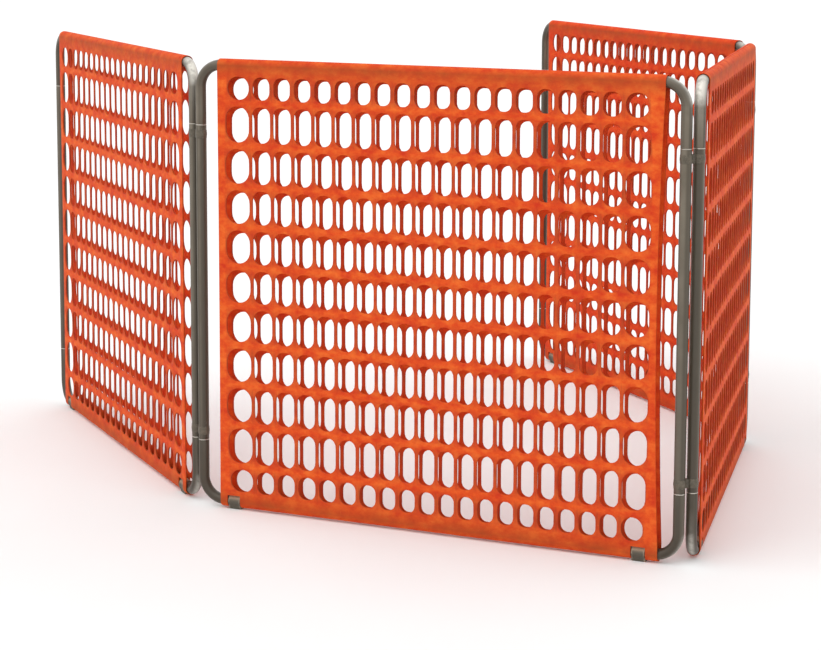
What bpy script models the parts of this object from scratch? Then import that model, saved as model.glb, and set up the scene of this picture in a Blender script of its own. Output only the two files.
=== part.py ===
"""Four-panel folding mesh screen. Metres, +Z up, origin at the bottom centre of the bounding box."""

import math

import bmesh
import bpy
from mathutils import Matrix, Vector

# frame tubes
TUBE_R = 0.0127
TUBE_INNER_R = 0.0111
PANEL_W = 1.219
FRAME_H = 1.067
BEND_R = 0.054
SIDES = 12
BEND_STEPS = 5

# feet lift the frame off the floor
FOOT_DROP = 0.006
FOOT_LENGTH = 0.031
FOOT_INSET = 0.0885
FOOT_R = 0.0150
FOOT_PAD_HALF = 0.009

# joints between bow legs and stiles
SEAM_FROM_END = 0.155
COLLAR_LENGTH = 0.0015
SPIGOT_R = 0.0107
SPIGOT_REACH = 0.030

# mesh sheets
SHEET_HALF_W = 0.549
SHEET_INNER_R = 0.01305
SHEET_OUTER_R = 0.0152
SHEET_SEAM_GAP = 0.0003
NOTCH_SIDE = 0.0015
NOTCH_TOP = 0.0345

# hinge links
PITCH = 0.033
LINK_FROM_END = 0.177
LINK_HEIGHT = 0.020
LINK_INNER_R = 0.01325
LINK_OUTER_R = 0.0152
LINK_SIDES = 16
LINK_WEB_HALF = 0.0055

GAP = 0.0003

# fold angles as stood up, in degrees from a straight line
LEFT_LINK, LEFT_PANEL = 31.0, 10.3
RIGHT_LINK, RIGHT_PANEL = 50.7, 50.7
BACK_LINK, BACK_PANEL = 18.45, 18.45

SPAN = PANEL_W - 2 * TUBE_R
RAIL_LOW = FOOT_DROP + TUBE_R
RAIL_HIGH = FOOT_DROP + FRAME_H - TUBE_R
SEAM_LOW = FOOT_DROP + SEAM_FROM_END
SEAM_HIGH = FOOT_DROP + FRAME_H - SEAM_FROM_END
LINK_LOW = FOOT_DROP + LINK_FROM_END
LINK_HIGH = FOOT_DROP + FRAME_H - LINK_FROM_END

PAINT = (0.115, 0.098, 0.078)
STEEL = (0.45, 0.44, 0.42)
DARK = (0.05, 0.047, 0.043)
ORANGE = (0.75, 0.10, 0.025)


def clear_scene():
    for obj in list(bpy.data.objects):
        bpy.data.objects.remove(obj, do_unlink=True)


def material(name, colour, roughness, metallic):
    mat = bpy.data.materials.new(name)
    mat.use_nodes = True
    shader = mat.node_tree.nodes["Principled BSDF"]
    shader.inputs["Base Color"].default_value = (*colour, 1.0)
    shader.inputs["Roughness"].default_value = roughness
    shader.inputs["Metallic"].default_value = metallic
    return mat


def painted_tube(name):
    return material(name, PAINT, 0.42, 0.3)


def bare_steel(name):
    return material(name, STEEL, 0.35, 1.0)


def dark_clamp(name):
    return material(name, DARK, 0.5, 0.2)


def orange_mesh(name):
    return material(name, ORANGE, 0.5, 0.0)


def heading(degrees):
    """Unit vector in the floor plane."""
    a = math.radians(degrees)
    return Vector((math.cos(a), math.sin(a), 0.0))


def finish_object(name, bm, origin, degrees, mat, smooth):
    """Makes the object, standing at origin with its local X along the heading."""
    bmesh.ops.recalc_face_normals(bm, faces=bm.faces)
    mesh = bpy.data.meshes.new(name)
    bm.to_mesh(mesh)
    bm.free()
    mesh.materials.append(mat)
    for polygon in mesh.polygons:
        polygon.use_smooth = smooth
    if smooth:
        mesh.set_sharp_from_angle(angle=math.radians(40))
    obj = bpy.data.objects.new(name, mesh)
    bpy.context.scene.collection.objects.link(obj)
    obj.location = origin
    obj.rotation_euler = (0.0, 0.0, math.radians(degrees))
    return obj


def ring(bm, centre, normal, radius, sides):
    """Points round centre; the first lies along the in-plane normal, local Y completes the circle."""
    across = Vector((0.0, 1.0, 0.0))
    points = []
    for k in range(sides):
        a = 2 * math.pi * k / sides
        points.append(bm.verts.new(centre + radius * (math.cos(a) * normal + math.sin(a) * across)))
    return points


def bridge(bm, first, second):
    count = len(first)
    for k in range(count):
        n = (k + 1) % count
        bm.faces.new((first[k], first[n], second[n], second[k]))


def hollow_sweep(bm, stations):
    """A tube open at both ends through stations of (centre, in-plane normal)."""
    outer = [ring(bm, c, n, TUBE_R, SIDES) for c, n in stations]
    inner = [ring(bm, c, n, TUBE_INNER_R, SIDES) for c, n in stations]
    for loops in (outer, inner):
        for a, b in zip(loops, loops[1:]):
            bridge(bm, a, b)
    bridge(bm, outer[0], inner[0])
    bridge(bm, outer[-1], inner[-1])


def bow_stations(rail_z, leg_z):
    """Leg, bend, rail, bend, leg. leg_z is where the legs end; the rail is above or below that."""
    up = 1.0 if rail_z > leg_z else -1.0
    corner_z = rail_z - up * BEND_R
    stations = [(Vector((0.0, 0.0, leg_z)), Vector((-1.0, 0.0, 0.0)))]
    for side, x0 in ((-1.0, BEND_R), (1.0, SPAN - BEND_R)):
        for k in range(BEND_STEPS + 1):
            share = k / BEND_STEPS
            a = math.pi / 2 * (share if side < 0 else 1.0 - share)
            normal = Vector((side * math.cos(a), 0.0, up * math.sin(a)))
            stations.append((Vector((x0, 0.0, corner_z)) + BEND_R * normal, normal))
    stations.append((Vector((SPAN, 0.0, leg_z)), Vector((1.0, 0.0, 0.0))))
    return stations


def make_bow(name, rail_z, leg_z, origin, degrees):
    bm = bmesh.new()
    hollow_sweep(bm, bow_stations(rail_z, leg_z))
    return finish_object(name, bm, origin, degrees, painted_tube(name), True)


def make_stile(name, x, origin, degrees):
    half_seam = COLLAR_LENGTH / 2 + GAP
    normal = Vector((1.0, 0.0, 0.0))
    bm = bmesh.new()
    ends = (SEAM_LOW + half_seam, SEAM_HIGH - half_seam)
    hollow_sweep(bm, [(Vector((x, 0.0, z)), normal) for z in ends])
    return finish_object(name, bm, origin, degrees, painted_tube(name), True)


def make_spigot(name, x, z, origin, degrees):
    """A plug with a thin collar that shows between the two tube ends."""
    profile = (
        (SPIGOT_R, z - SPIGOT_REACH),
        (SPIGOT_R, z - COLLAR_LENGTH / 2),
        (TUBE_R, z - COLLAR_LENGTH / 2),
        (TUBE_R, z + COLLAR_LENGTH / 2),
        (SPIGOT_R, z + COLLAR_LENGTH / 2),
        (SPIGOT_R, z + SPIGOT_REACH),
    )
    normal = Vector((1.0, 0.0, 0.0))
    bm = bmesh.new()
    loops = [ring(bm, Vector((x, 0.0, h)), normal, r, SIDES) for r, h in profile]
    for a, b in zip(loops, loops[1:]):
        bridge(bm, a, b)
    bm.faces.new(loops[0])
    bm.faces.new(loops[-1])
    return finish_object(name, bm, origin, degrees, bare_steel(name), True)


def foot_outline():
    """Pairs of inner and outer points in (y, z) from the rail's axis: a ring with a flat pad below."""
    pad = FOOT_PAD_HALF
    floor = -(TUBE_R + FOOT_DROP)
    shoulder = math.degrees(math.acos(pad / FOOT_R))
    corner = math.degrees(math.atan2(-floor, pad))
    angles = [30.0 * k for k in range(12)]
    angles += [180 + shoulder, 180 + corner, 360 - corner, 360 - shoulder]
    facet = math.radians(15)
    inner_r = SHEET_INNER_R * math.cos(facet)
    pairs = []
    for angle in sorted(angles):
        a = math.radians(angle)
        off = math.radians((angle % 30.0) - 15.0)
        r_in = inner_r / math.cos(off)
        r_out = FOOT_R
        if 180 + corner - 0.01 <= angle <= 360 - corner + 0.01:
            r_out = floor / math.sin(a)
        elif 180 + shoulder - 0.01 <= angle <= 360 - shoulder + 0.01:
            r_out = pad / abs(math.cos(a))
        direction = Vector((0.0, math.cos(a), math.sin(a)))
        pairs.append((direction * r_in, direction * r_out))
    return pairs


def make_foot(name, x, origin, degrees):
    pairs = foot_outline()
    bm = bmesh.new()
    loops = []
    for end in (-FOOT_LENGTH / 2, FOOT_LENGTH / 2):
        shift = Vector((x + end, 0.0, RAIL_LOW))
        loops.append([bm.verts.new(p + shift) for p, _ in pairs])
        loops.append([bm.verts.new(p + shift) for _, p in pairs])
    inner_a, outer_a, inner_b, outer_b = loops
    bridge(bm, inner_a, outer_a)
    bridge(bm, inner_b, outer_b)
    bridge(bm, inner_a, inner_b)
    bridge(bm, outer_a, outer_b)
    return finish_object(name, bm, origin, degrees, dark_clamp(name), True)


def sheet_profile(radius, side):
    """(y, z) up one face, from under the bottom rail to over the top rail."""
    points = []
    for k in range(4):
        a = math.radians(-90 - 30 * k)
        points.append((radius * math.cos(a), RAIL_LOW + radius * math.sin(a)))
    points.append((-radius, NOTCH_TOP))
    for k in range(4):
        a = math.radians(180 - 30 * k)
        points.append((radius * math.cos(a), RAIL_HIGH + radius * math.sin(a)))
    return [(-side * (y - SHEET_SEAM_GAP / 2), z) for y, z in points]


def make_sheet(name, side, origin, degrees):
    """One face of the mesh sleeve, notched round the feet. side is +1 for local +Y, -1 for -Y."""
    middle = SPAN / 2
    reach = FOOT_LENGTH / 2 + NOTCH_SIDE
    left, right = FOOT_INSET, SPAN - FOOT_INSET
    xs = [middle - SHEET_HALF_W, left - reach, left + reach]
    xs += [right - reach, right + reach, middle + SHEET_HALF_W]
    notched = {(col, row) for col in (1, 3) for row in range(4)}
    profiles = [sheet_profile(r, side) for r in (SHEET_OUTER_R, SHEET_INNER_R)]
    bm = bmesh.new()
    grid = [[[bm.verts.new((x, y, z)) for y, z in profile] for x in xs] for profile in profiles]
    columns, rows = len(xs) - 1, len(profiles[0]) - 1
    solid = {(c, r) for c in range(columns) for r in range(rows)} - notched
    for c, r in sorted(solid):
        for layer in grid:
            bm.faces.new((layer[c][r], layer[c + 1][r], layer[c + 1][r + 1], layer[c][r + 1]))
        borders = (
            ((c - 1, r), (c, r), (c, r + 1)),
            ((c + 1, r), (c + 1, r), (c + 1, r + 1)),
            ((c, r - 1), (c, r), (c + 1, r)),
            ((c, r + 1), (c, r + 1), (c + 1, r + 1)),
        )
        for neighbour, a, b in borders:
            if neighbour not in solid:
                corners = [grid[0][a[0]][a[1]], grid[0][b[0]][b[1]]]
                corners += [grid[1][b[0]][b[1]], grid[1][a[0]][a[1]]]
                bm.faces.new(corners)
    loose = [v for v in bm.verts if not v.link_faces]
    bmesh.ops.delete(bm, geom=loose, context="VERTS")
    return finish_object(name, bm, origin, degrees, orange_mesh(name), True)


def link_outline():
    """One ring from the web's upper edge round to its lower edge; the inner points close across the web."""
    web = math.degrees(math.asin(LINK_WEB_HALF / LINK_OUTER_R))
    steps = LINK_SIDES - 2
    angles = [web + (360 - 2 * web) * k / steps for k in range(steps + 1)]
    inner = [heading(a) * LINK_INNER_R for a in angles + [360.0]]
    return inner, [heading(a) * LINK_OUTER_R for a in angles]


def make_link(name, z, origin, degrees):
    """A figure-of-eight strap round two stiles."""
    inner, outer = link_outline()
    flip = Matrix.Translation((PITCH, 0.0, 0.0)) @ Matrix.Rotation(math.pi, 4, "Z")
    bm = bmesh.new()
    levels = []
    for h in (z - LINK_HEIGHT / 2, z + LINK_HEIGHT / 2):
        lift = Vector((0.0, 0.0, h))
        rings = []
        for place in (Matrix.Identity(4), flip):
            rings.append([bm.verts.new(place @ p + lift) for p in inner])
            rings.append([bm.verts.new(place @ p + lift) for p in outer])
        levels.append(rings)
        for k in (0, 2):
            for a in range(len(outer) - 1):
                bm.faces.new((rings[k][a], rings[k + 1][a], rings[k + 1][a + 1], rings[k][a + 1]))
        near_in, near_out, far_in, far_out = rings
        web = [near_in[0], near_out[0], far_out[-1], far_in[-2], far_in[-1]]
        web += [far_in[0], far_out[0], near_out[-1], near_in[-2], near_in[-1]]
        bm.faces.new(web)
    low, high = levels
    for k in (0, 2):
        bridge(bm, low[k], high[k])
    for k in (1, 3):
        for a in range(len(outer) - 1):
            bm.faces.new((low[k][a], low[k][a + 1], high[k][a + 1], high[k][a]))
    for a, b in ((1, 3), (3, 1)):
        bm.faces.new((low[a][0], low[b][-1], high[b][-1], high[a][0]))
    return finish_object(name, bm, origin, degrees, painted_tube(name), True)


def make_panel(prefix, origin, degrees, inner_side):
    """All the pieces of one panel. inner_side is +1 where local +Y faces into the enclosure."""
    half_seam = COLLAR_LENGTH / 2 + GAP
    make_bow(prefix + "_top_bow", RAIL_HIGH, SEAM_HIGH + half_seam, origin, degrees)
    make_bow(prefix + "_bottom_bow", RAIL_LOW, SEAM_LOW - half_seam, origin, degrees)
    make_stile(prefix + "_stile_near", 0.0, origin, degrees)
    make_stile(prefix + "_stile_far", SPAN, origin, degrees)
    for side, x in (("near", 0.0), ("far", SPAN)):
        make_spigot(prefix + "_spigot_" + side + "_lower", x, SEAM_LOW, origin, degrees)
        make_spigot(prefix + "_spigot_" + side + "_upper", x, SEAM_HIGH, origin, degrees)
    make_foot(prefix + "_foot_near", FOOT_INSET, origin, degrees)
    make_foot(prefix + "_foot_far", SPAN - FOOT_INSET, origin, degrees)
    make_sheet(prefix + "_sheet_inner", inner_side, origin, degrees)
    make_sheet(prefix + "_sheet_outer", -inner_side, origin, degrees)


def make_links(prefix, origin, degrees):
    make_link(prefix + "_upper", LINK_HIGH, origin, degrees)
    make_link(prefix + "_lower", LINK_LOW, origin, degrees)


def layout():
    """Stile axes and headings of every panel and link, with the front panel along X."""
    turn = {"front": 0.0, "left": 180.0 - LEFT_LINK - LEFT_PANEL, "right": RIGHT_LINK + RIGHT_PANEL}
    turn["back"] = turn["right"] + BACK_LINK + BACK_PANEL
    turn["link_left"] = 180.0 - LEFT_LINK
    turn["link_right"] = RIGHT_LINK
    turn["link_back"] = turn["right"] + BACK_LINK
    at = {"front": Vector((0.0, 0.0, 0.0)), "link_left": Vector((0.0, 0.0, 0.0))}
    at["left"] = PITCH * heading(turn["link_left"])
    at["link_right"] = SPAN * heading(0.0)
    at["right"] = at["link_right"] + PITCH * heading(turn["link_right"])
    at["link_back"] = at["right"] + SPAN * heading(turn["right"])
    at["back"] = at["link_back"] + PITCH * heading(turn["link_back"])
    return at, turn


def recentre():
    """Moves every object so that the plan of the bounding box is centred on the origin."""
    corners = []
    for obj in bpy.data.objects:
        turned = obj.rotation_euler.to_matrix()
        corners += [obj.location + turned @ v.co for v in obj.data.vertices]
    middle = Vector((0.0, 0.0, 0.0))
    for axis in (0, 1):
        values = [c[axis] for c in corners]
        middle[axis] = (min(values) + max(values)) / 2
    for obj in bpy.data.objects:
        obj.location -= middle


def build():
    clear_scene()
    at, turn = layout()
    for prefix, inner_side in (("front", 1), ("left", -1), ("right", 1), ("back", 1)):
        make_panel(prefix, at[prefix], turn[prefix], inner_side)
    for prefix in ("link_left", "link_right", "link_back"):
        make_links(prefix, at[prefix], turn[prefix])
    recentre()


build()
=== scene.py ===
import math

import bpy
import numpy as np
from mathutils import Matrix, Vector, noise


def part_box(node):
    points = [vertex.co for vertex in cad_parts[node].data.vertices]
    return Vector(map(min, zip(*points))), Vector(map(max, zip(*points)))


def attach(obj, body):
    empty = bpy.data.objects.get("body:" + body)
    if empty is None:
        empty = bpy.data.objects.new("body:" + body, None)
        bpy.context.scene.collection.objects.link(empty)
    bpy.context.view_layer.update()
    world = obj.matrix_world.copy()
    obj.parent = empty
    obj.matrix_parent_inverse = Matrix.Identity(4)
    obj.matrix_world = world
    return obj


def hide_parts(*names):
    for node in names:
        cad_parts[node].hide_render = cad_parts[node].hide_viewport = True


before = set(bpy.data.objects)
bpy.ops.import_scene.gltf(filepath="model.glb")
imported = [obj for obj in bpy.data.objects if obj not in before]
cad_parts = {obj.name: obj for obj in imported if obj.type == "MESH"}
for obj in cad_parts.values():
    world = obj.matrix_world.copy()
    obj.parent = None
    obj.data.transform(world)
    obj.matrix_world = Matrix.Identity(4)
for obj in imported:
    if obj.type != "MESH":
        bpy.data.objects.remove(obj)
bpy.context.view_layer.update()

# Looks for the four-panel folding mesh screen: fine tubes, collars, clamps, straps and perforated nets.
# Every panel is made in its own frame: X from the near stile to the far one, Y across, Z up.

PANELS = ("front", "left", "right", "back")
STRAPS = {
    "link_left": ("front_stile_near", "left_stile_near"),
    "link_right": ("front_stile_far", "right_stile_near"),
    "link_back": ("right_stile_far", "back_stile_near"),
}
INNER_SIDE = {"front": 1, "left": -1, "right": 1, "back": 1}

# frame tubes
TUBE_R = 0.0127
BEND_R = 0.054
BEND_STEPS = 14
TUBE_SIDES = 36
BEND_FLATTENING = 0.05
TUBE_END_ROUND, TUBE_END_CHAMFER = 0.0005, 0.0020

# painted highlights on the outsides of the bends: how bright they are, and how tight the bright line is
BEND_HIGHLIGHTS = {"front": (0.8, 5), "left": (1.0, 1), "right": (1.0, 1), "back": (0.8, 2), "lower": (0.6, 6)}

# bright collars in the seams
COLLAR_R = 0.01285
COLLAR_HALF = 0.00095
COLLAR_ROUND = 0.0004
COLLAR_CORE_R = 0.0107
CORE_CHAMFER = 0.0008
COLLAR_SIDES = 40

# foot clamps
CLAMP_LENGTH = 0.031
CLAMP_INSET = 0.0885
CLAMP_INNER_R = 0.0129
CLAMP_R = 0.0146
CLAMP_RIB, RIB_START, RIB_END = 0.0004, 0.0045, 0.0055
CLAMP_ROUND = 0.0007
CLAMP_FROM, CLAMP_SWEEP, CLAMP_STEPS = -37, 254, 36
PAD_HALF = 0.009
PAD_CORNER = 0.0012
PAD_GROOVE = 0.0012
GROOVE_FOOT, GROOVE_TOP = 0.0010, 0.0006

# hinge straps
STRAP_INNER_R = 0.01285
STRAP_R = 0.0134
STRAP_STEPS = 44
STRAP_WAIST = 0.0052
STRAP_ROLL = 0.0009
STRAP_BEAD, BEAD_HALF, BEAD_FOOT_HALF = 0.0005, 0.0030, 0.0045

# net: its size, and how it thickens between the rails and dips
NET_HALF_W = 0.549
NET_R = 0.01415
NET_THICK = 0.0021
NET_SWELL, SWELL_RUN = 0.0018, 0.035
NET_DIP, DIP_FROM_RAIL = 0.0016, 0.02
NET_WOBBLE = 0.0012

# net: its rows and columns of holes. Pitches open out from the middle by the spreads.
ROWS, COLUMNS = 11, 20
ROW_PITCH, ROW_SPREAD = 0.0936, 0.0014
END_LINE = 0.5005
COLUMN_PITCH, COLUMN_SPREAD = 0.0490, 0.052
END_COLUMN = 0.0685
END_INSET = 0.008
BAND, STRAND, END_STRAND = 0.0165, 0.0084, 0.0106
STRAND_VARIATION = 0.16
END_ROW_TRIM = 0.006
HOLE_CORNER, END_HOLE_CORNER = 0.88, 0.95
ACROSS_STEPS, UP_STEPS = 10, 8

# net: lines round a hole's rim and along an edge, as distance from it and share of the thickness
RIM_RINGS = ((0.0010, 0.93), (0.0002, 0.70), (0.0, 0.0))
EDGE_LINES = ((0.016, 1.0), (0.0013, 0.9), (0.0004, 0.55), (0.0, 0.0))

# net: where it goes round the rails, its notches for the clamps, and the painted shade of its folds
WRAP_STEPS = 8
WRAP_ENDS = (0.0009, 0.0003, 0.0)
WRAP_END_THICKS = (0.6, 0.0)
WRAP_CLEARANCE = 0.00015
LEVEL_GAP = 0.004
NOTCH_HALF = CLAMP_LENGTH / 2 + 0.0015
NOTCH_DEPTH = 0.0155
HEM_DEPTH, HEM_FADE = 0.032, 0.012

# how far each sleeve has slid along its rails, and how far its near and far edges pull in at mid height
NET_EDGES = {"front": (0.0045, 0.001, 0.011), "left": (0.0, 0.004, 0.005)}
EDGES = (0.0, 0.004, 0.004)

# how far each net has crept on its frame, outer net then inner: sideways at mid panel, sideways per metre
# of height, more sideways at mid height, up all over, and more up at mid height
BELLY_HALF, LIFT_HALF = 0.37, 0.42
NET_CREEP = {
    "front": ((0.014, -0.016, 0.000, 0.001, 0.001), (0.014, -0.016, 0.010, -0.005, -0.003)),
    "left": ((0.006, 0.010, 0.006, -0.001, 0.000), (-0.004, 0.004, 0.000, 0.000, 0.000)),
    "right": ((0.004, 0.006, 0.002, 0.000, 0.001), (-0.004, 0.006, 0.002, -0.005, -0.003)),
    "back": ((-0.005, -0.008, 0.004, -0.006, -0.001), (0.005, 0.004, 0.000, 0.001, 0.000)),
}

# red, mid and pale orange of a net's mottling, then the colour of its drawn strands
OUTER_COLOURS = ((196, 54, 27), (214, 80, 32), (228, 108, 44), (162, 60, 38))
INNER_COLOURS = ((200, 50, 20), (215, 68, 23), (226, 92, 32), (166, 54, 32))


def centre(node):
    lo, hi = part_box(node)
    return (lo + hi) / 2


def place_between(node, other):
    """World matrix with its origin below one upright node and X towards another, and their distance."""
    start, end = centre(node), centre(other)
    along = Vector((end.x - start.x, end.y - start.y, 0.0))
    x = along.normalized()
    up = Vector((0.0, 0.0, 1.0))
    place = Matrix((x, up.cross(x), up)).transposed().to_4x4()
    place.translation = (start.x, start.y, 0.0)
    return place, along.length


# ---------------------------------------------------------------- materials


class Shader:
    """A node material under construction, with short calls for the nodes used here."""

    def __init__(self, name):
        self.material = bpy.data.materials.new(name)
        self.material.use_nodes = True
        self.nodes = self.material.node_tree.nodes
        self.links = self.material.node_tree.links
        self.surface = self.nodes["Principled BSDF"]
        self.position = self.nodes.new("ShaderNodeTexCoord").outputs["Object"]

    def link(self, value, socket):
        if isinstance(value, bpy.types.NodeSocket):
            self.links.new(value, socket)
        else:
            socket.default_value = value

    def set(self, name, value):
        self.link(value, self.surface.inputs[name])

    def attribute(self, name):
        node = self.nodes.new("ShaderNodeAttribute")
        node.attribute_name = name
        return node.outputs["Fac"]

    def height(self):
        node = self.nodes.new("ShaderNodeSeparateXYZ")
        self.link(self.position, node.inputs["Vector"])
        return node.outputs["Z"]

    def stretched(self, scale):
        node = self.nodes.new("ShaderNodeMapping")
        self.link(self.position, node.inputs["Vector"])
        node.inputs["Scale"].default_value = scale
        return node.outputs["Vector"]

    def noise(self, scale, detail=3.0, rough=0.5, stretch=(1, 1, 1)):
        node = self.nodes.new("ShaderNodeTexNoise")
        self.link(self.stretched(stretch), node.inputs["Vector"])
        node.inputs["Scale"].default_value = scale
        node.inputs["Detail"].default_value = detail
        node.inputs["Roughness"].default_value = rough
        return node.outputs["Fac"]

    def ramp(self, value, *stops):
        node = self.nodes.new("ShaderNodeValToRGB")
        self.link(value, node.inputs["Fac"])
        elements = node.color_ramp.elements
        while len(elements) < len(stops):
            elements.new(0.5)
        for element, (at, colour) in zip(elements, stops):
            element.position = at
            element.color = (*colour, 1.0) if hasattr(colour, "__len__") else (colour, colour, colour, 1.0)
        return node.outputs["Color"]

    def mix(self, factor, a, b):
        node = self.nodes.new("ShaderNodeMix")
        node.data_type = "RGBA"
        self.link(factor, node.inputs["Factor"])
        for value, socket in ((a, node.inputs["A"]), (b, node.inputs["B"])):
            self.link((*value, 1.0) if isinstance(value, tuple) else value, socket)
        return node.outputs["Result"]

    def product(self, a, b):
        node = self.nodes.new("ShaderNodeMath")
        node.operation = "MULTIPLY"
        self.link(a, node.inputs[0])
        self.link(b, node.inputs[1])
        return node.outputs["Value"]

    def bump(self, height, distance, strength, under=None):
        node = self.nodes.new("ShaderNodeBump")
        self.link(height, node.inputs["Height"])
        node.inputs["Distance"].default_value = distance
        node.inputs["Strength"].default_value = strength
        if under is not None:
            self.link(under, node.inputs["Normal"])
        return node.outputs["Normal"]


def srgb(red, green, blue):
    """Linear colour of an 8-bit display colour."""
    return tuple(((v / 255 + 0.055) / 1.055) ** 2.4 if v > 10 else v / 3294 for v in (red, green, blue))


def net_material(name, low, middle, high, shade):
    """Drawn orange plastic: mottled bands, darker strands, painted shade on its folds, hole rims and cut
    edges, and a low sheen.
    """
    s = Shader(name)
    mottle = s.noise(34.0, 5.0, 0.62, (1.0, 1.0, 1.5))
    colour = s.ramp(mottle, (0.30, srgb(*low)), (0.50, srgb(*middle)), (0.72, srgb(*high)))
    streaks = s.noise(240.0, 2.0, 0.5, (1.0, 1.0, 0.12))
    strand = s.attribute("strand")
    colour = s.mix(s.product(strand, 0.60), colour, srgb(*shade))
    drawn_marks = s.product(s.ramp(streaks, (0.45, 0.0), (0.75, 0.5)), strand)
    colour = s.mix(drawn_marks, colour, srgb(120, 62, 34))
    # painted shade on the band where the sheet turns over a rail, broken up by noise
    hem_shade = s.product(s.attribute("hem"), s.ramp(s.noise(18.0, 5.0, 0.6), (0.25, 0.40), (0.7, 0.95)))
    colour = s.mix(hem_shade, colour, srgb(158, 70, 34))
    # painted shade on the hole rims and cut edges, where the sheet's thickness is in shadow
    colour = s.mix(s.product(s.attribute("rim"), 0.5), colour, srgb(92, 46, 30))
    dust = s.ramp(s.noise(90.0, 6.0, 0.7), (0.62, 0.0), (0.80, 0.35))
    colour = s.mix(dust, colour, srgb(230, 122, 58))
    s.set("Base Color", colour)
    s.set("Roughness", s.ramp(s.noise(60.0, 3.0), (0.3, 0.62), (0.7, 0.76)))
    s.set("Specular IOR Level", 0.08)
    fine = s.bump(s.noise(900.0, 3.0), 0.0002, 0.5)
    drawn = s.bump(s.noise(150.0, 2.0, 0.5, (0.25, 1.0, 1.0)), 0.0006, 0.5, fine)
    s.set("Normal", drawn)
    return s.material


def tube_material():
    """Grey-brown painted steel: streaks along the tube, dark low down, painted shade on the bends and painted
    highlights on their outsides.
    """
    s = Shader("painted_tube")
    along = s.attribute("streak")
    colour = s.ramp(along, (0.25, srgb(72, 65, 54)), (0.5, srgb(92, 84, 71)), (0.8, srgb(118, 109, 95)))
    cloud = s.noise(14.0, 4.0, 0.6)
    colour = s.mix(s.ramp(cloud, (0.35, 0.5), (0.65, 0.0)), colour, srgb(84, 75, 61))
    # darker towards the bottom
    darker_low_down = s.ramp(s.height(), (0.0, 0.62), (0.75, 0.15), (1.0, 0.0))
    colour = s.mix(darker_low_down, colour, srgb(66, 58, 47))
    # painted shade on the bends
    colour = s.mix(s.product(s.attribute("bend"), 0.55), colour, srgb(62, 54, 43))
    patch = s.ramp(s.noise(55.0, 6.0, 0.65), (0.30, 0.45), (0.55, 1.0))
    # painted highlight on the outsides of the bends, broken into patches
    colour = s.mix(s.product(s.attribute("bend_highlight"), patch), colour, srgb(226, 222, 212))
    scuffs = s.ramp(s.noise(70.0, 8.0, 0.72, (1.0, 1.0, 0.4)), (0.66, 0.0), (0.74, 0.5))
    colour = s.mix(scuffs, colour, srgb(172, 164, 150))
    s.set("Base Color", colour)
    s.set("Metallic", 0.25)
    s.set("Roughness", s.ramp(s.noise(40.0, 4.0), (0.3, 0.32), (0.7, 0.48)))
    s.set("Specular IOR Level", 0.5)
    s.set("Normal", s.bump(s.noise(420.0, 2.0), 0.00025, 0.35))
    return s.material


def collar_material():
    """Bright turned steel with fine lines round it."""
    s = Shader("bright_collar")
    turned = s.noise(300.0, 2.0, 0.5, (0.2, 0.2, 9.0))
    s.set("Base Color", s.ramp(turned, (0.3, srgb(158, 150, 138)), (0.7, srgb(222, 216, 206))))
    s.set("Metallic", 0.85)
    s.set("Roughness", s.ramp(turned, (0.3, 0.24), (0.7, 0.4)))
    s.set("Normal", s.bump(turned, 0.0001, 0.4))
    return s.material


def clamp_material():
    """Dark moulded rubber, grainy, greyed where it has worn, with a painted highlight on top."""
    s = Shader("clamp_rubber")
    grain = s.noise(700.0, 4.0, 0.6)
    colour = s.ramp(grain, (0.3, srgb(66, 60, 50)), (0.7, srgb(92, 85, 72)))
    worn = s.product(s.attribute("edge"), s.ramp(s.noise(120.0, 4.0), (0.4, 0.1), (0.7, 0.8)))
    # painted highlight on the clamp's top
    colour = s.mix(s.ramp(s.height(), (0.0225, 0.0), (0.0275, 0.75)), colour, srgb(176, 148, 122))
    s.set("Base Color", s.mix(worn, colour, srgb(168, 152, 132)))
    s.set("Roughness", s.ramp(grain, (0.3, 0.55), (0.7, 0.75)))
    s.set("Normal", s.bump(grain, 0.0002, 0.5))
    return s.material


def strap_material():
    """Dark painted strap, worn to metal along its edges, with painted shade on its web and in its bores."""
    s = Shader("strap_paint")
    cloud = s.noise(120.0, 5.0, 0.6)
    colour = s.ramp(cloud, (0.3, srgb(74, 67, 55)), (0.7, srgb(97, 88, 74)))
    worn = s.product(s.attribute("edge"), s.ramp(s.noise(260.0, 4.0), (0.42, 0.0), (0.62, 0.8)))
    colour = s.mix(worn, colour, srgb(150, 141, 126))
    # painted shade on the web between the tubes and in the bores
    s.set("Base Color", s.mix(s.product(s.attribute("web"), 0.8), colour, srgb(44, 39, 32)))
    s.set("Metallic", 0.25)
    s.set("Roughness", s.ramp(cloud, (0.3, 0.34), (0.7, 0.5)))
    s.set("Normal", s.bump(s.noise(500.0, 3.0), 0.0002, 0.4))
    return s.material


def floor_material():
    s = Shader("pale_floor")
    s.set("Base Color", s.ramp(s.noise(0.8, 3.0), (0.3, 0.86), (0.7, 0.89)))
    s.set("Roughness", 0.85)
    s.set("Normal", s.bump(s.noise(30.0, 3.0), 0.001, 0.1))
    return s.material


# ---------------------------------------------------------------- mesh helpers


def make_object(name, vertices, faces, material, place, marks=None, smooth=True, sharp=None):
    """marks are per-vertex values that the materials read, by name."""
    mesh = bpy.data.meshes.new(name)
    mesh.from_pydata([tuple(v) for v in vertices], [], faces)
    mesh.materials.append(material)
    for key, values in (marks or {}).items():
        layer = mesh.attributes.new(key, "FLOAT", "POINT")
        layer.data.foreach_set("value", np.asarray(values, np.float32))
    mesh.polygons.foreach_set("use_smooth", [smooth] * len(mesh.polygons))
    if sharp is not None:
        mesh.set_sharp_from_angle(angle=math.radians(sharp))
    mesh.update()
    obj = bpy.data.objects.new(name, mesh)
    obj.matrix_world = place
    bpy.context.scene.collection.objects.link(obj)
    return obj


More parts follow.
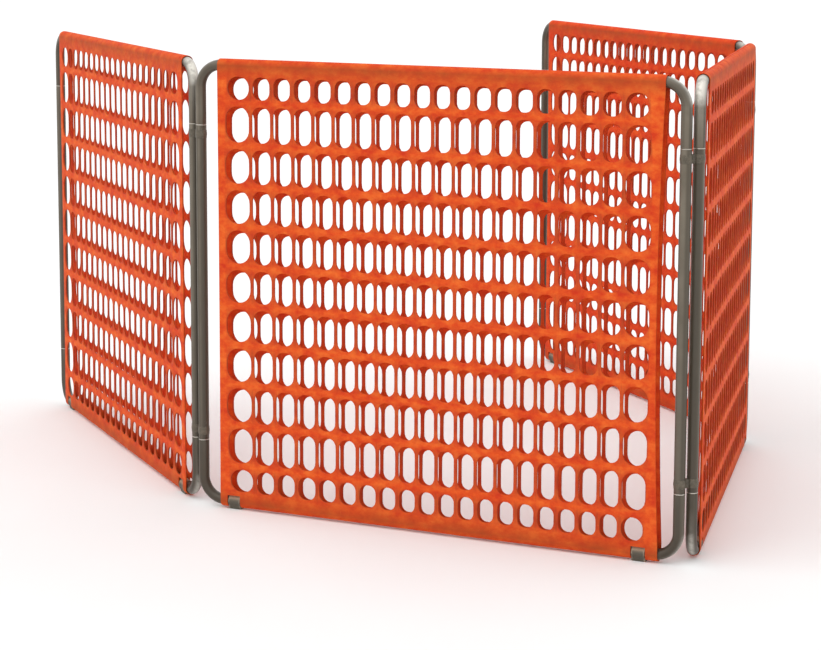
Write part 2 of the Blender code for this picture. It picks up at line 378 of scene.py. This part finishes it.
def settle(obj, body, slot, *nodes):
    """obj moves with body and stands for those CAD nodes; slot is not used."""
    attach(obj, body)
    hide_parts(*nodes)


def loft(rings):
    """Quads between successive equal rings of vertex numbers."""
    faces = []
    for a, b in zip(rings, rings[1:]):
        for k in range(len(a)):
            n = (k + 1) % len(a)
            faces.append((a[k], a[n], b[n], b[k]))
    return faces


# ---------------------------------------------------------------- tubes


def streak(k, seed):
    """Streaks that run along a tube: one value for each of its sides."""
    a = 2 * math.pi * k / TUBE_SIDES
    value = noise.noise((1.6 * math.cos(a), 1.6 * math.sin(a), seed))
    return min(1.0, max(0.0, 0.5 + 0.75 * value))


def tube(name, stations, material, place, seed, highlight):
    """A round tube through stations of (centre, in-plane normal, bend share), its ends slightly rounded."""
    across = Vector((0.0, 1.0, 0.0))
    first, last = stations[0], stations[-1]
    inward = (stations[1][0] - first[0]).normalized() * TUBE_END_ROUND
    outward = (last[0] - stations[-2][0]).normalized() * TUBE_END_ROUND
    end_radii = (TUBE_R - TUBE_END_CHAMFER, TUBE_R - TUBE_END_ROUND)
    rings = [(first[0], first[1], 0.0, radius) for radius in end_radii]
    rings.append((first[0] + inward, first[1], 0.0, TUBE_R))
    rings += [(c, n, b, TUBE_R) for c, n, b in stations[1:-1]]
    rings.append((last[0] - outward, last[1], 0.0, TUBE_R))
    rings += [(last[0], last[1], 0.0, radius) for radius in reversed(end_radii)]
    vertices, marks = [], {"streak": [], "bend": [], "bend_highlight": []}
    for centre_point, normal, bend, radius in rings:
        for k in range(TUBE_SIDES):
            a = 2 * math.pi * k / TUBE_SIDES
            flat = radius * (1 - BEND_FLATTENING * bend)
            vertices.append(centre_point + flat * math.cos(a) * normal + radius * math.sin(a) * across)
            marks["streak"].append(streak(k, seed))
            marks["bend"].append(bend)
            # share of the painted highlight, strongest on the outside of a bend
            marks["bend_highlight"].append(bend * highlight[0] * max(0.0, math.cos(a)) ** highlight[1])
    numbered = [[i * TUBE_SIDES + k for k in range(TUBE_SIDES)] for i in range(len(rings))]
    faces = loft(numbered) + [tuple(reversed(numbered[0])), tuple(numbered[-1])]
    return make_object(name, vertices, faces, material, place, marks, sharp=50)


def bow_stations(span, rail_z, leg_z):
    """Leg, bend, rail, bend, leg. The straights have extra stations so that shading stays even."""
    up = 1.0 if rail_z > leg_z else -1.0
    corner_z = rail_z - up * BEND_R
    stations = [(Vector((0.0, 0.0, leg_z)), Vector((-1.0, 0.0, 0.0)), 0.0)]
    stations.append((Vector((0.0, 0.0, (2 * leg_z + corner_z) / 3)), Vector((-1.0, 0.0, 0.0)), 0.0))
    for side, x0 in ((-1.0, BEND_R), (1.0, span - BEND_R)):
        for k in range(BEND_STEPS + 1):
            share = k / BEND_STEPS
            a = math.pi / 2 * (share if side < 0 else 1.0 - share)
            normal = Vector((side * math.cos(a), 0.0, up * math.sin(a)))
            bend = math.sin(math.pi * share) ** 0.5 if 0 < k < BEND_STEPS else 0.15
            stations.append((Vector((x0, 0.0, corner_z)) + BEND_R * normal, normal, bend))
        if side < 0:
            for share in (0.08, 0.5, 0.92):
                x = BEND_R + (span - 2 * BEND_R) * share
                stations.append((Vector((x, 0.0, rail_z)), Vector((0.0, 0.0, up)), 0.0))
    stations.append((Vector((span, 0.0, (2 * leg_z + corner_z) / 3)), Vector((1.0, 0.0, 0.0)), 0.0))
    stations.append((Vector((span, 0.0, leg_z)), Vector((1.0, 0.0, 0.0)), 0.0))
    # a top bow is walked from its far leg, a bottom bow from its near leg, so that the faces look outward
    return stations[::-1] if up > 0 else stations


def stile_stations(x, low, high):
    normal = Vector((1.0, 0.0, 0.0))
    shares = (0.0, 0.05, 0.35, 0.65, 0.95, 1.0)
    return [(Vector((x, 0.0, low + (high - low) * t)), normal, 0.0) for t in shares]


def turned(name, x, profile, sides, material, place):
    """A solid of revolution about a vertical axis. profile is pairs of radius and height, lowest first."""
    vertices = []
    for radius, z in profile:
        for k in range(sides):
            a = 2 * math.pi * k / sides
            vertices.append(Vector((x + radius * math.cos(a), radius * math.sin(a), z)))
    rings = [[i * sides + k for k in range(sides)] for i in range(len(profile))]
    faces = loft(rings) + [tuple(reversed(rings[0])), tuple(rings[-1])]
    return make_object(name, vertices, faces, material, place, sharp=40)


def collar(name, node, x, material, place):
    """The bright ring in a seam, rolled at its edges, on a plug that goes into both tubes."""
    lo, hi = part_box(node)
    z, reach = (lo.z + hi.z) / 2, (hi.z - lo.z) / 2
    lower = [(COLLAR_CORE_R - CORE_CHAMFER, -reach), (COLLAR_CORE_R, -reach + CORE_CHAMFER)]
    lower += [(COLLAR_CORE_R, -COLLAR_HALF), (COLLAR_R - COLLAR_ROUND, -COLLAR_HALF)]
    lower.append((COLLAR_R, -COLLAR_HALF / 2))
    profile = lower + [(r, -h) for r, h in reversed(lower)]
    return turned(name, x, [(r, z + h) for r, h in profile], COLLAR_SIDES, material, place)


# ---------------------------------------------------------------- foot clamps


def clamp_outline(radius, floor):
    """(y, z) round a clamp from the rail's axis: round above, with straight cheeks and a flat pad below."""
    pad, corner = PAD_HALF, PAD_CORNER
    points = []
    for k in range(CLAMP_STEPS + 1):
        a = math.radians(CLAMP_FROM + CLAMP_SWEEP * k / CLAMP_STEPS)
        points.append((radius * math.cos(a), radius * math.sin(a)))
    top = floor + PAD_GROOVE
    points += [(-pad, floor + corner), (-pad + corner * 0.3, floor + corner * 0.3), (-pad + corner, floor)]
    for middle in (-pad / 2, 0.0, pad / 2):
        points += [(middle - GROOVE_FOOT, floor), (middle - GROOVE_TOP, top)]
        points += [(middle + GROOVE_TOP, top), (middle + GROOVE_FOOT, floor)]
    points += [(pad - corner, floor), (pad - corner * 0.3, floor + corner * 0.3), (pad, floor + corner)]
    return points


def clamp(name, x, rail_z, material, place):
    """A clamp band round the bottom rail, with raised end ribs and a grooved sole."""
    half = CLAMP_LENGTH / 2
    profile = [(half, -CLAMP_ROUND), (half - CLAMP_ROUND, 0.0)]
    profile += [(half - RIB_START, 0.0), (half - RIB_END, -CLAMP_RIB)]
    sections = [(-offset, swell) for offset, swell in profile] + profile[::-1]
    vertices, edge, rings = [], [], []
    for offset, swell in sections:
        ring = []
        for y, z in clamp_outline(CLAMP_R + CLAMP_RIB + swell, -rail_z):
            ring.append(len(vertices))
            vertices.append(Vector((x + offset, y, rail_z + z)))
            edge.append(1.0 if abs(offset) > half - RIB_START else 0.0)
        rings.append(ring)
    bores = []
    for end in (half, -half):
        ring = []
        for y, z in clamp_outline(CLAMP_R, -rail_z):
            direction = Vector((y, z)).normalized() * CLAMP_INNER_R
            ring.append(len(vertices))
            vertices.append(Vector((x + end, direction.x, rail_z + direction.y)))
            edge.append(1.0)
        bores.append(ring)
    faces = loft(rings + bores + rings[:1])
    return make_object(name, vertices, faces, material, place, {"edge": edge}, sharp=35)


# ---------------------------------------------------------------- hinge straps


def strap_loop(radius, meet):
    """Points round one tube, from one side of the waist to the other."""
    angles = [meet + (2 * math.pi - 2 * meet) * k / STRAP_STEPS for k in range(STRAP_STEPS + 1)]
    return [(radius * math.cos(a), radius * math.sin(a)) for a in angles]


def strap_outline(pitch, radius, waist):
    """Points round a figure of eight in plan, pinched between the two tubes."""
    points = strap_loop(radius, math.asin(min(1.0, waist / radius)))
    return points + [(pitch - x, -y) for x, y in points]


def strap_bore(pitch, flip):
    """Points round one bore, its last one on the line between the two tubes."""
    points = strap_loop(STRAP_INNER_R, math.asin(STRAP_WAIST / STRAP_R)) + [(STRAP_INNER_R, 0.0)]
    return [(pitch - x, -y) for x, y in points] if flip else points


def strap_levels(low, high):
    """Height and swelling of the outer skin's rings: rolled edges and a bead round the middle."""
    middle = (low + high) / 2
    levels = [(low, -STRAP_ROLL), (low + STRAP_ROLL, 0.0)]
    levels += [(middle - BEAD_FOOT_HALF, 0.0), (middle - BEAD_HALF, STRAP_BEAD)]
    levels += [(middle + BEAD_HALF, STRAP_BEAD), (middle + BEAD_FOOT_HALF, 0.0)]
    return levels + [(high - STRAP_ROLL, 0.0), (high, -STRAP_ROLL)]


def strap_end(outer, bores):
    """Faces of a strap's lower end, between the outer ring and the two bores."""
    count = STRAP_STEPS + 1
    near, far = bores
    faces = []
    for bore, first in ((near, 0), (far, count)):
        for k in range(count - 1):
            faces.append((bore[k], bore[k + 1], outer[first + k + 1], outer[first + k]))
    bridge = (near[-1], near[0], outer[0], outer[-1], far[-2], far[-1])
    faces.append(bridge + (far[0], outer[count], outer[count - 1], near[-2]))
    return faces


def strap(name, pitch, low, high, material, place):
    """One strap: an outer figure-of-eight skin over two bores, its edges rolled."""
    vertices, marks = [], {"edge": [], "web": []}

    def ring(outline, z, edge, web):
        for x, y in outline:
            vertices.append(Vector((x, y, z)))
            marks["edge"].append(edge)
            marks["web"].append(web(x))
        return list(range(len(vertices) - len(outline), len(vertices)))

    def near_web(x):
        return max(0.0, 1.0 - abs(x - pitch / 2) / (pitch / 5))

    skin = []
    for z, swell in strap_levels(low, high):
        outline = strap_outline(pitch, STRAP_R + swell, STRAP_WAIST + swell)
        skin.append(ring(outline, z, 1.0 if z in (low, high) else 0.15, near_web))
    bores = []
    for z in (low, high):
        bores.append([ring(strap_bore(pitch, flip), z, 1.0, lambda x: 1.0) for flip in (False, True)])
    faces = loft(skin) + strap_end(skin[0], bores[0])
    faces += [tuple(reversed(face)) for face in strap_end(skin[-1], bores[1])]
    for lower, upper in zip(*bores):
        faces += loft([upper, lower])
    return make_object(name, vertices, faces, material, place, marks, sharp=35)


# ---------------------------------------------------------------- nets


def row_lines():
    """Heights of the middles of the bands between rows, from the middle of the net."""
    steps = [n + 0.5 for n in range(ROWS // 2)]
    half = [ROW_PITCH * n * (1 + ROW_SPREAD * n ** 2) for n in steps] + [END_LINE]
    return [-h for h in reversed(half)] + half


def column_lines(end_row):
    """Middles of the strands, from the net's middle; the pitch opens out towards the selvages."""
    last = COLUMNS // 2
    half = [COLUMN_PITCH * i * (1 + COLUMN_SPREAD * (i / last) ** 2) for i in range(last)]
    half.append(half[-1] + END_COLUMN)
    if end_row:
        half = [x - END_INSET * (i / last) ** 8 for i, x in enumerate(half)]
    return [-x for x in reversed(half[1:])] + half


def tangent_steps(count):
    """From 0 to 1, spaced so that they look evenly spread from the middle of a hole."""
    return [0.5 + 0.5 * math.tan(math.radians(-45 + 90 * k / count)) for k in range(count + 1)]


def hole_reach(du, ds, a, b, corner):
    """Where the line from a hole's middle through (du, ds) meets its edge, a rectangle with round corners."""
    x, z = abs(du), abs(ds)
    straight = min(a / x if x else math.inf, b / z if z else math.inf)
    px, pz = x * straight - (a - corner), z * straight - (b - corner)
    if px <= 0 or pz <= 0:
        return du * straight, ds * straight
    length = math.hypot(x, z)
    nx, nz = x / length, z / length
    along = nx * (a - corner) + nz * (b - corner)
    off = (a - corner) ** 2 + (b - corner) ** 2 - along ** 2
    reach = (along + math.sqrt(max(0.0, corner ** 2 - off))) / length
    return du * reach, ds * reach


class NetPlan:
    """Flat layout of one net: vertices of (across, up, thickness, strand and rim shares) and quads."""

    def __init__(self, seed, creep):
        self.vertices, self.quads, self.seed, self.creep = [], [], seed, creep
        wide, narrow = column_lines(False), column_lines(True)
        mixed = [(a + b) / 2 for a, b in zip(wide, narrow)]
        self.x = [narrow, mixed] + [wide] * (ROWS - 3) + [mixed, narrow]
        self.z = row_lines()
        self.nodes, self.level, self.upright = {}, {}, {}
        self.make_lines()
        for row in range(ROWS):
            for column in range(COLUMNS):
                self.make_cell(column, row)

    def add(self, u, s, thick=1.0, strand=0.0, rim=0.0):
        self.vertices.append((u, s, thick, strand, rim))
        return len(self.vertices) - 1

    def crept(self, u, s):
        """Where a point of the pattern has crept to on the frame."""
        side, tilt, belly, rise, lift = self.creep
        across = max(0.0, 1 - (u / NET_HALF_W) ** 2)
        bow = 1 - (s / BELLY_HALF) ** 2
        middle = max(0.0, 1 - (s / LIFT_HALF) ** 2)
        return u + across * (side + tilt * s + belly * bow), s + rise + lift * middle

    def corner(self, i, j):
        """A place where four cells meet, moved a little so that the net isn't ruled."""
        u, s = self.crept(self.x[j][i], self.z[j])
        if 0 < i < COLUMNS and 0 < j < ROWS:
            u += NET_WOBBLE * noise.noise((7 * u, 7 * s, self.seed))
            s += NET_WOBBLE * noise.noise((9 * u, 5 * s, self.seed + 20))
        return u, s

    def make_lines(self):
        """Vertices along every band line and every strand line, shared by the cells on both sides."""
        for j in range(ROWS + 1):
            for i in range(COLUMNS + 1):
                self.nodes[i, j] = self.add(*self.corner(i, j))
        for j in range(ROWS + 1):
            for i in range(COLUMNS):
                self.level[i, j] = self.between(self.nodes[i, j], self.nodes[i + 1, j], ACROSS_STEPS, 0.0)
        for i in range(COLUMNS + 1):
            for j in range(ROWS):
                strand = 1.0 if 0 < i < COLUMNS else 0.0
                self.upright[i, j] = self.between(self.nodes[i, j], self.nodes[i, j + 1], UP_STEPS, strand)

    def between(self, a, b, count, strand):
        """Vertex numbers from a to b with the side's inner points added."""
        start, end = self.vertices[a], self.vertices[b]
        line = [a]
        for t in tangent_steps(count)[1:-1]:
            u, s = start[0] + (end[0] - start[0]) * t, start[1] + (end[1] - start[1]) * t
            line.append(self.add(u, s, 1.0, strand * math.sin(math.pi * t) ** 0.6))
        return line + [b]

    def hole(self, column, row):
        """Middle, half width and half height of a hole: what the strands and bands round it leave."""
        corners = [self.vertices[self.nodes[i, j]] for i in (column, column + 1) for j in (row, row + 1)]
        left, right = (corners[0][0] + corners[1][0]) / 2, (corners[2][0] + corners[3][0]) / 2
        low, high = (corners[0][1] + corners[2][1]) / 2, (corners[1][1] + corners[3][1]) / 2
        half_strand = (END_STRAND if row in (0, ROWS - 1) else STRAND) / 2
        low += END_ROW_TRIM if row == 0 else BAND / 2
        high -= END_ROW_TRIM if row == ROWS - 1 else BAND / 2
        uneven = 1 + STRAND_VARIATION * noise.noise((column * 3.7, row * 2.9, self.seed + 5))
        a = (right - left) / 2 - half_strand * uneven
        return (left + right) / 2, (low + high) / 2, a, (high - low) / 2

    def make_cell(self, column, row):
        """Rings from the cell's border in to the rim of its hole."""
        border = self.level[column, row] + self.upright[column + 1, row][1:]
        border += list(reversed(self.level[column, row + 1]))[1:]
        border += list(reversed(self.upright[column, row]))[1:-1]
        cx, cz, a, b = self.hole(column, row)
        rounding = END_HOLE_CORNER if column in (0, COLUMNS - 1) else HOLE_CORNER
        corner = rounding * min(a, b)
        rings = [border]
        for inset, thick in RIM_RINGS:
            ring = []
            for number in border:
                u, s = self.vertices[number][:2]
                hx, hz = hole_reach(u - cx, s - cz, a + inset, b + inset, corner + inset)
                side = max(0.0, 1 - abs(hz) / b) ** 0.5
                ring.append(self.add(cx + hx, cz + hz, thick, 0.9 * side, 1.0 - thick))
            rings.append(ring)
        self.quads += loft(rings)


def selvages(plan, half_width, slide, near_pull, far_pull):
    """Solid strips outside the first and last columns. Returns, for each edge, the strips' vertex lines."""
    strips = {}
    for side, i in ((-1, 0), (1, COLUMNS)):
        line = []
        for j in range(ROWS):
            line += plan.upright[i, j][:-1]
        line.append(plan.nodes[i, ROWS])
        lines = [line]
        for inset, thick in EDGE_LINES:
            x = side * (half_width - inset) + slide
            pull = near_pull if side < 0 else far_pull
            lines.append([])
            for n in line:
                s = plan.vertices[n][1]
                inward = side * pull * max(0.0, 1 - (s / END_LINE) ** 2)
                lines[-1].append(plan.add(x - inward, s, thick, 0.0, 1.0 - thick))
        for a, b in zip(lines, lines[1:]):
            for k in range(len(line) - 1):
                quad = (a[k], b[k], b[k + 1], a[k + 1])
                plan.quads.append(quad if side > 0 else tuple(reversed(quad)))
        strips[side] = lines
    return strips


def bottom_or_top_line(plan, strips, j):
    """All the vertices of the net's first or last line, from edge to edge."""
    at = 0 if j == 0 else -1
    line = [column[at] for column in reversed(strips[-1])]
    for i in range(COLUMNS):
        line += plan.level[i, j][1:]
    return line + [column[at] for column in strips[1][1:]]


def snap_to_notches(plan, line, notches):
    """Moves the nearest vertices of a line sideways on to the notch sides."""
    for place in [edge for notch in notches for edge in notch]:
        nearest = min(line[4:-4], key=lambda n: abs(plan.vertices[n][0] - place))
        plan.vertices[nearest] = (place, *plan.vertices[nearest][1:])


def wraps(plan, strips, face_half, arc, notches):
    """Carries the net on over the top rail and under the bottom one, to the seams, round the notches."""
    for j, way in ((0, -1), (ROWS, 1)):
        line = bottom_or_top_line(plan, strips, j)
        if way < 0:
            snap_to_notches(plan, line, notches)
        start = abs(plan.vertices[line[0]][1])
        notch_s = face_half - NOTCH_DEPTH
        levels = [notch_s] if way < 0 else []
        levels += [face_half + arc * k / WRAP_STEPS for k in range(WRAP_STEPS)]
        levels += [face_half + arc - short for short in WRAP_ENDS]
        levels = [s for s in levels if s > start + LEVEL_GAP]
        thicks = [1.0] * (len(levels) - len(WRAP_END_THICKS)) + list(WRAP_END_THICKS)
        previous = line
        for s, end_thick in zip(levels, thicks):
            following = []
            for n in line:
                u, _, thick = plan.vertices[n][:3]
                thin = min(thick, end_thick)
                following.append(plan.add(u, way * s, thin, 0.0, 1.0 - thin))
            for k in range(len(line) - 1):
                middle = (plan.vertices[line[k]][0] + plan.vertices[line[k + 1]][0]) / 2
                cut = way < 0 and s > notch_s and any(a < middle < b for a, b in notches)
                if not cut:
                    quad = (previous[k], previous[k + 1], following[k + 1], following[k])
                    plan.quads.append(quad if way > 0 else tuple(reversed(quad)))
            previous = following


def hem_share(beyond):
    """How much painted shade a place gets where the sheet turns over a rail, from its distance beyond the
    rail's middle.
    """
    if beyond > 0:
        return max(0.0, 1 - beyond / HEM_FADE)
    return max(0.0, 1 + beyond / HEM_DEPTH)


def thicken(plan, project, face_half):
    """Both faces of the sheet from its plan.

    A vertex of no thickness is shared by the two faces. Where a cut leaves an edge with thickness, a wall
    closes it.
    """
    used = sorted({n for quad in plan.quads for n in quad})
    front, back, vertices, marks = {}, {}, [], {"strand": [], "rim": [], "hem": []}
    for n in used:
        u, s, thick, strand, rim = plan.vertices[n]
        for store, way in ((front, 1), (back, -1)):
            if way < 0 and thick == 0.0:
                store[n] = front[n]
                continue
            store[n] = len(vertices)
            vertices.append(project(u, s, way * thick * NET_THICK / 2))
            marks["strand"].append(strand)
            marks["rim"].append(rim)
            marks["hem"].append(hem_share(abs(s) - face_half))
    faces, open_edges = [], {}
    for quad in plan.quads:
        faces.append(tuple(front[n] for n in quad))
        faces.append(tuple(back[n] for n in reversed(quad)))
        for a, b in zip(quad, quad[1:] + quad[:1]):
            if open_edges.pop((b, a), None) is None:
                open_edges[a, b] = True
    for a, b in open_edges:
        wall = []
        for corner in (front[b], front[a], back[a], back[b]):
            if corner not in wall:
                wall.append(corner)
        if len(wall) > 2:
            faces.append(tuple(wall))
    return vertices, faces, marks


def flat_area(plan):
    """Area of a net's plan, its holes left out."""
    total = 0.0
    for quad in plan.quads:
        corners = [plan.vertices[n][:2] for n in quad]
        pairs = zip(corners, corners[1:] + corners[:1])
        total += abs(sum(a[0] * b[1] - b[0] * a[1] for a, b in pairs)) / 2
    return total


def net(name, prefix, layer, side, span, rails, material, place, seed):
    """One face of the sleeve. side is +1 for local +Y; layer 0 is the outer net and 1 the inner."""
    low, high = rails
    middle, face_half = (low + high) / 2, (high - low) / 2
    arc = NET_R * math.pi / 2
    notch_x = span / 2 - CLAMP_INSET
    notches = [(-notch_x - NOTCH_HALF, -notch_x + NOTCH_HALF), (notch_x - NOTCH_HALF, notch_x + NOTCH_HALF)]
    plan = NetPlan(seed, NET_CREEP[prefix][layer])
    strips = selvages(plan, NET_HALF_W, *NET_EDGES.get(prefix, EDGES))
    wraps(plan, strips, face_half, arc, notches)

    def project(u, s, w):
        """A point of the flat net, set round the rails. Between them it is thicker on its hidden side."""
        if w < 0:
            w *= 1 + 2 * NET_SWELL / NET_THICK * min(1.0, max(0.0, (face_half - abs(s)) / SWELL_RUN))
        upright_share = max(0.0, 1 - (s / (face_half - DIP_FROM_RAIL)) ** 2)
        share = max(0.0, 1 - (u / NET_HALF_W) ** 2) * upright_share
        dip = NET_DIP * share * (0.6 + 0.8 * noise.noise((2.2 * u, 2.8 * s, seed + 40)))
        if abs(s) <= face_half:
            y, z = NET_R + w - dip, middle + s
        else:
            angle = min(math.pi / 2, (abs(s) - face_half) / NET_R)
            y = (NET_R + w) * math.cos(angle) + WRAP_CLEARANCE
            z = (high if s > 0 else low) + math.copysign((NET_R + w) * math.sin(angle), s)
        return Vector((span / 2 + u, side * y, z))

    vertices, faces, marks = thicken(plan, project, face_half)
    if side > 0:
        faces = [tuple(reversed(f)) for f in faces]
    return make_object(name, vertices, faces, material, place, marks, sharp=60), flat_area(plan)


# ---------------------------------------------------------------- assembly


def build_bows(prefix, place, span, rails, seed, paint):
    """A panel's top and bottom bows. Returns their names."""
    body = "panel_" + prefix
    top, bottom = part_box(prefix + "_top_bow"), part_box(prefix + "_bottom_bow")
    high_path = bow_stations(span, rails[1], top[0].z)
    low_path = bow_stations(span, rails[0], bottom[1].z)
    upper = tube(prefix + "_top_tube", high_path, paint, place, seed, BEND_HIGHLIGHTS[prefix])
    lower = tube(prefix + "_bottom_tube", low_path, paint, place, seed + 1, BEND_HIGHLIGHTS["lower"])
    settle(upper, body, "painted_tube", prefix + "_top_bow")
    settle(lower, body, "painted_tube", prefix + "_bottom_bow")
    return [upper.name, lower.name]


def build_side(prefix, side, x, place, seed, mats):
    """The post on one side of a panel, and the collar at each end of it."""
    body, node = "panel_" + prefix, prefix + "_stile_" + side
    lo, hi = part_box(node)
    stations = stile_stations(x, lo.z, hi.z)
    post = tube(prefix + "_post_" + side, stations, mats["tube"], place, seed + x + 2, BEND_HIGHLIGHTS[prefix])
    settle(post, body, "painted_tube", node)
    for level in ("lower", "upper"):
        node = f"{prefix}_spigot_{side}_{level}"
        ring = collar(f"{prefix}_collar_{side}_{level}", node, x, mats["collar"], place)
        settle(ring, body, "bare_steel", node)


def build_clamps(prefix, place, span, rail_z, material):
    """The two clamps on a panel's bottom rail."""
    for side, x in (("near", CLAMP_INSET), ("far", span - CLAMP_INSET)):
        foot = clamp(f"{prefix}_clamp_{side}", x, rail_z, material, place)
        settle(foot, "panel_" + prefix, "foot_clamp", f"{prefix}_foot_{side}")


def build_sleeve(prefix, place, span, rails, seed, mats):
    """A panel's outer and inner nets, stretched round its two rails."""
    for layer, (word, side) in enumerate((("outer", -INNER_SIDE[prefix]), ("inner", INNER_SIDE[prefix]))):
        name, plastic = f"{prefix}_net_{word}", mats["net_" + word]
        sheet, area = net(name, prefix, layer, side, span, rails, plastic, place, seed + 7 * layer)
        settle(sheet, "panel_" + prefix, "orange_mesh", f"{prefix}_sheet_{word}")


def build_panel(prefix, number, mats):
    place, span = place_between(prefix + "_stile_near", prefix + "_stile_far")
    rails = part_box(prefix + "_bottom_bow")[0].z + TUBE_R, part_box(prefix + "_top_bow")[1].z - TUBE_R
    seed = 3.1 * (number + 1)
    bows = build_bows(prefix, place, span, rails, seed, mats["tube"])
    for side, x in (("near", 0.0), ("far", span)):
        build_side(prefix, side, x, place, seed, mats)
    build_clamps(prefix, place, span, rails[0], mats["clamp"])
    build_sleeve(prefix, place, span, rails, seed, mats)


def build_straps(prefix, stiles, material):
    """The two straps of one hinge, their web along the line between the stiles that they join."""
    place, pitch = place_between(*stiles)
    for level in ("upper", "lower"):
        node = f"{prefix}_{level}"
        lo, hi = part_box(node)
        piece = strap(f"{prefix}_strap_{level}", pitch, lo.z, hi.z, material, place)
        settle(piece, prefix, "hinge_link", node)


def build_object():
    mats = {
        "net_outer": net_material("orange_net_outer", *OUTER_COLOURS),
        "net_inner": net_material("orange_net_inner", *INNER_COLOURS),
        "tube": tube_material(),
        "collar": collar_material(),
        "clamp": clamp_material(),
        "strap": strap_material(),
    }
    for number, prefix in enumerate(PANELS):
        build_panel(prefix, number, mats)
    for prefix, stiles in STRAPS.items():
        build_straps(prefix, stiles, mats["strap"])


# ---------------------------------------------------------------- stage

FLOOR_HALF = 30.0
CAMERA_OFFSET = Vector((2.1222, -4.6799, 0.0))
CAMERA_HEIGHT = 1.442523
YAW, PITCH, ROLL = math.radians(24.923), math.radians(8.046), math.radians(0.188)
LENS, SENSOR = 100.79, 36.0
SHIFT_Y = -0.1218
SKY_STRENGTH = 1.10
KEY_TOWARDS = (0.30, 0.55, -0.85)
KEY_SOFTNESS, KEY_POWER = 60.0, 0.65
KEY_COLOUR = (1.0, 0.99, 0.97)


def make_floor():
    corners = [(-FLOOR_HALF, -FLOOR_HALF, 0.0), (FLOOR_HALF, -FLOOR_HALF, 0.0)]
    corners += [(FLOOR_HALF, FLOOR_HALF, 0.0), (-FLOOR_HALF, FLOOR_HALF, 0.0)]
    floor = make_object("floor", corners, [(0, 1, 2, 3)], floor_material(), Matrix.Identity(4), smooth=False)


def make_camera():
    """The camera stands a fixed way off the middle of the front panel."""
    middle = (centre("front_stile_near") + centre("front_stile_far")) / 2
    forward = Vector((-math.sin(YAW) * math.cos(PITCH), math.cos(YAW) * math.cos(PITCH), -math.sin(PITCH)))
    level = Vector((math.cos(YAW), math.sin(YAW), 0.0))
    up = level.cross(forward)
    right = math.cos(ROLL) * level + math.sin(ROLL) * up
    up = right.cross(forward)
    data = bpy.data.cameras.new("camera")
    data.lens, data.sensor_width, data.sensor_fit = LENS, SENSOR, "HORIZONTAL"
    data.shift_y = SHIFT_Y
    data.clip_end = 200.0
    camera = bpy.data.objects.new("camera", data)
    place = Matrix((right, up, -forward)).transposed().to_4x4()
    place.translation = Vector((middle.x, middle.y, 0.0)) + CAMERA_OFFSET + Vector((0.0, 0.0, CAMERA_HEIGHT))
    camera.matrix_world = place
    bpy.context.scene.collection.objects.link(camera)
    bpy.context.scene.camera = camera


def make_lights():
    """A white sky, and one broad distant light so that the floor is evenly lit."""
    world = bpy.data.worlds.new("studio")
    world.use_nodes = True
    background = world.node_tree.nodes["Background"]
    background.inputs["Color"].default_value = (1.0, 1.0, 1.0, 1.0)
    background.inputs["Strength"].default_value = SKY_STRENGTH
    bpy.context.scene.world = world
    bpy.context.scene.view_settings.view_transform = "Standard"
    data = bpy.data.lights.new("key", "SUN")
    data.angle, data.energy, data.color = math.radians(KEY_SOFTNESS), KEY_POWER, KEY_COLOUR
    light = bpy.data.objects.new("key", data)
    light.rotation_euler = Vector(KEY_TOWARDS).to_track_quat("-Z", "Y").to_euler()
    bpy.context.scene.collection.objects.link(light)


make_camera()
make_lights()
make_floor()
build_object()
